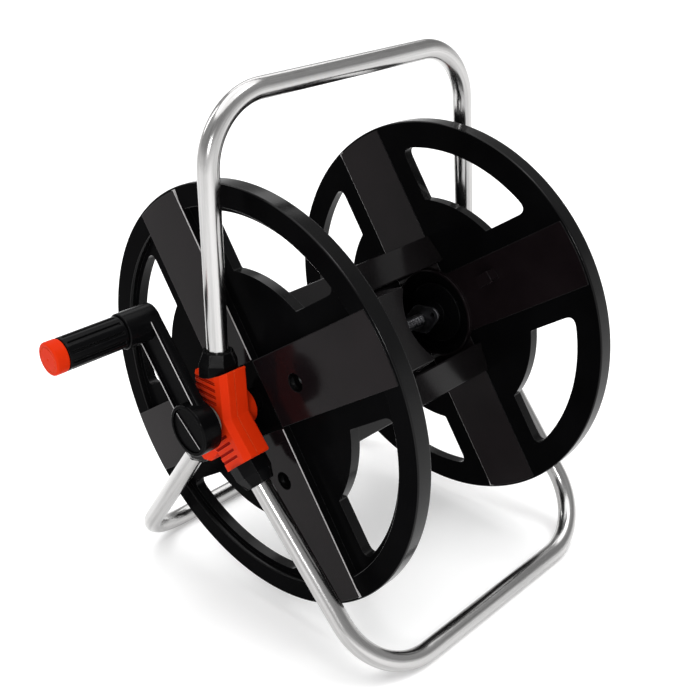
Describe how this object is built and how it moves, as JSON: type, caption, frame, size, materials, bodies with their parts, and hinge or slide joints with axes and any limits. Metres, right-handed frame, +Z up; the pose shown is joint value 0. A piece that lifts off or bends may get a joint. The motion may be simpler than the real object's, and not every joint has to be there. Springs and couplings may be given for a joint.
{
  "type": "hose reel",
  "caption": "Portable free-standing hose reel: bent-tube stand with carrying handle, side connectors, spoked drum and a side crank with a turning grip.",
  "frame": {"origin": "on the ground plane, straight below the middle of the drum's axle", "axes": "+X along the axle towards the water inlet, away from the crank; +Y towards the rear leg; +Z up"},
  "size_m": [0.4045, 0.32, 0.4065],
  "materials": {
    "bright_tube": "bright drawn tube with long soft reflections",
    "red_plastic": "satin orange-red moulding",
    "black_gloss": "glossy black moulding",
    "dark_plastic": "satin near-black moulding",
    "zinc_steel": "zinc-plated steel",
    "pale_plastic": "unpainted bearing plastic",
    "seal_rubber": "dull black rubber"
  },
  "bodies": {
    "stand": {"handle_tube": "bright_tube", "front_leg_tube": "bright_tube", "rear_leg_tube": "bright_tube", "near_shell_outer": "red_plastic", "near_shell_inner": "red_plastic", "far_shell_outer": "red_plastic", "far_shell_inner": "red_plastic", "near_collar_top": "dark_plastic", "near_collar_front": "dark_plastic", "near_collar_rear": "dark_plastic", "far_collar_top": "dark_plastic", "far_collar_front": "dark_plastic", "far_collar_rear": "dark_plastic", "near_tube_screw_top": "zinc_steel", "near_tube_screw_front": "zinc_steel", "near_tube_screw_rear": "zinc_steel", "far_tube_screw_top": "zinc_steel", "far_tube_screw_front": "zinc_steel", "far_tube_screw_rear": "zinc_steel", "near_bush": "pale_plastic", "far_bush": "pale_plastic", "inlet_fitting": "dark_plastic", "spindle_seal": "seal_rubber"},
    "drum": {"near_flange": "black_gloss", "far_flange": "black_gloss", "near_slat_screw_a": "zinc_steel", "near_slat_screw_b": "zinc_steel", "near_slat_screw_c": "zinc_steel", "near_slat_screw_d": "zinc_steel", "far_slat_screw_a": "zinc_steel", "far_slat_screw_b": "zinc_steel", "far_slat_screw_c": "zinc_steel", "far_slat_screw_d": "zinc_steel", "core_slat_a": "black_gloss", "core_slat_b": "black_gloss", "core_slat_c": "black_gloss", "core_slat_d": "black_gloss", "near_axle": "dark_plastic", "far_spindle": "dark_plastic", "hose_tail": "zinc_steel", "tail_clamp_plate": "zinc_steel", "tail_lock_nut": "zinc_steel", "crank_arm": "dark_plastic", "crank_screw": "zinc_steel", "crank_hub_cap": "black_gloss", "grip_pin": "zinc_steel"},
    "grip": {"grip_sleeve": "dark_plastic", "grip_end_cap": "red_plastic"}
  },
  "joints": [
    {"name": "drum_spin", "type": "hinge", "parent": "stand", "child": "drum", "pos_m": [0, 0, 0.18093], "axis": [1, 0, 0], "continuous": true},
    {"name": "grip_spin", "type": "hinge", "parent": "drum", "child": "grip", "pos_m": [-0.2, 0.04502, 0.24767], "axis": [1, 0, 0], "continuous": true}
  ]
}
